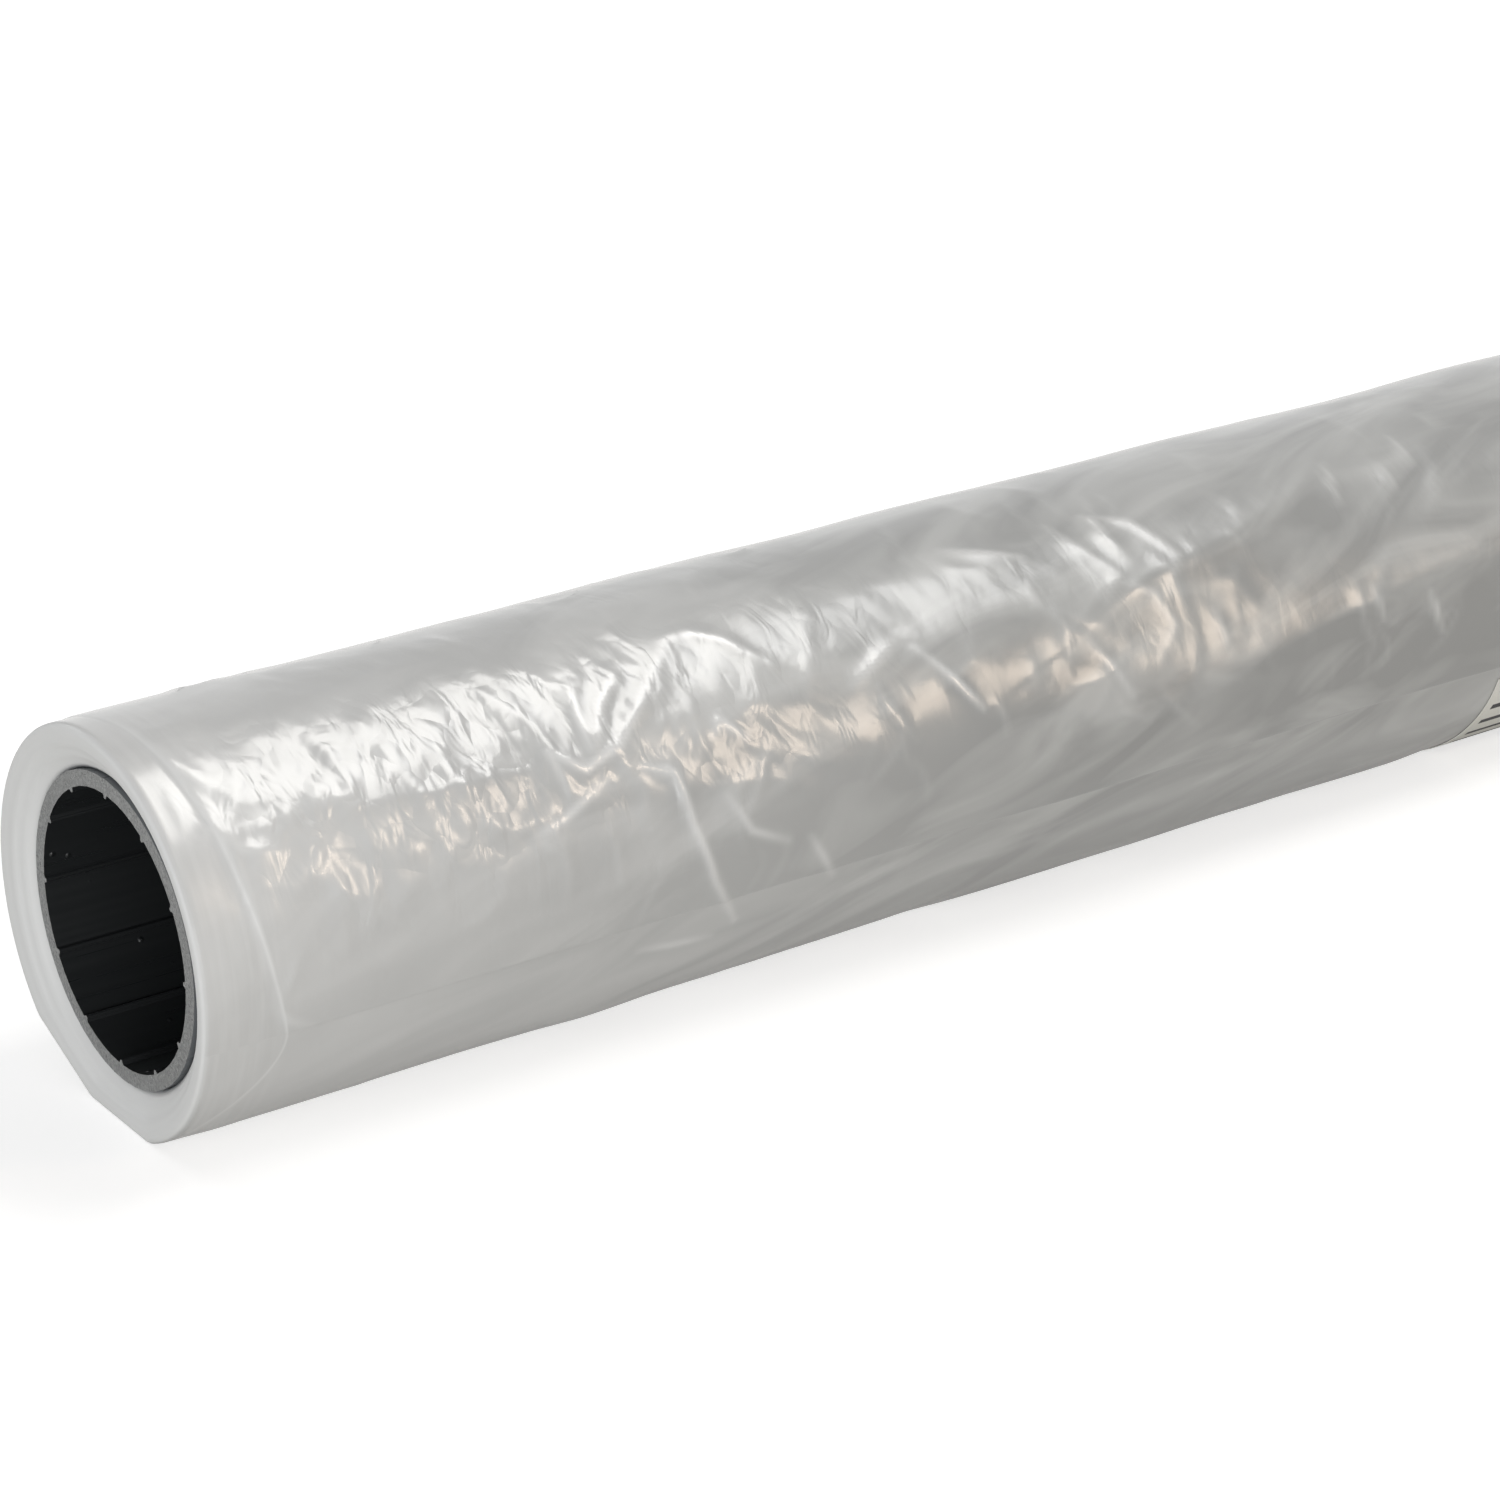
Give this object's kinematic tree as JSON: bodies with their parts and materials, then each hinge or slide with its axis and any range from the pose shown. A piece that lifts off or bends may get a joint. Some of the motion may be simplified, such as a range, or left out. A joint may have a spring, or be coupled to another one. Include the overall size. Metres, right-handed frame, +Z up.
{
  "type": "roll of plastic sheeting",
  "caption": "Roll of clear plastic sheeting wound on a ribbed black plastic core, lying on its side, with crumpled outer turns and a plain paper label.",
  "frame": {"origin": "on the floor under the middle of the roll, at the centre of the flat spot that it lies on", "axes": "+X along the roll's axis, away from the near end of the picture; -Y towards the front, where the free edge of the last turn comes down; +Z up"},
  "size_m": [1, 0.1175, 0.1115],
  "materials": {
    "core": "black recycled plastic, extruded with a dull skin, ends saw cut grey",
    "film": "clear polythene film in many turns, milky in depth, glossy crumpled skin",
    "label": "uncoated white paper"
  },
  "bodies": {
    "root": {"core": "core", "film_roll": "film", "label": "label"}
  },
  "joints": []
}
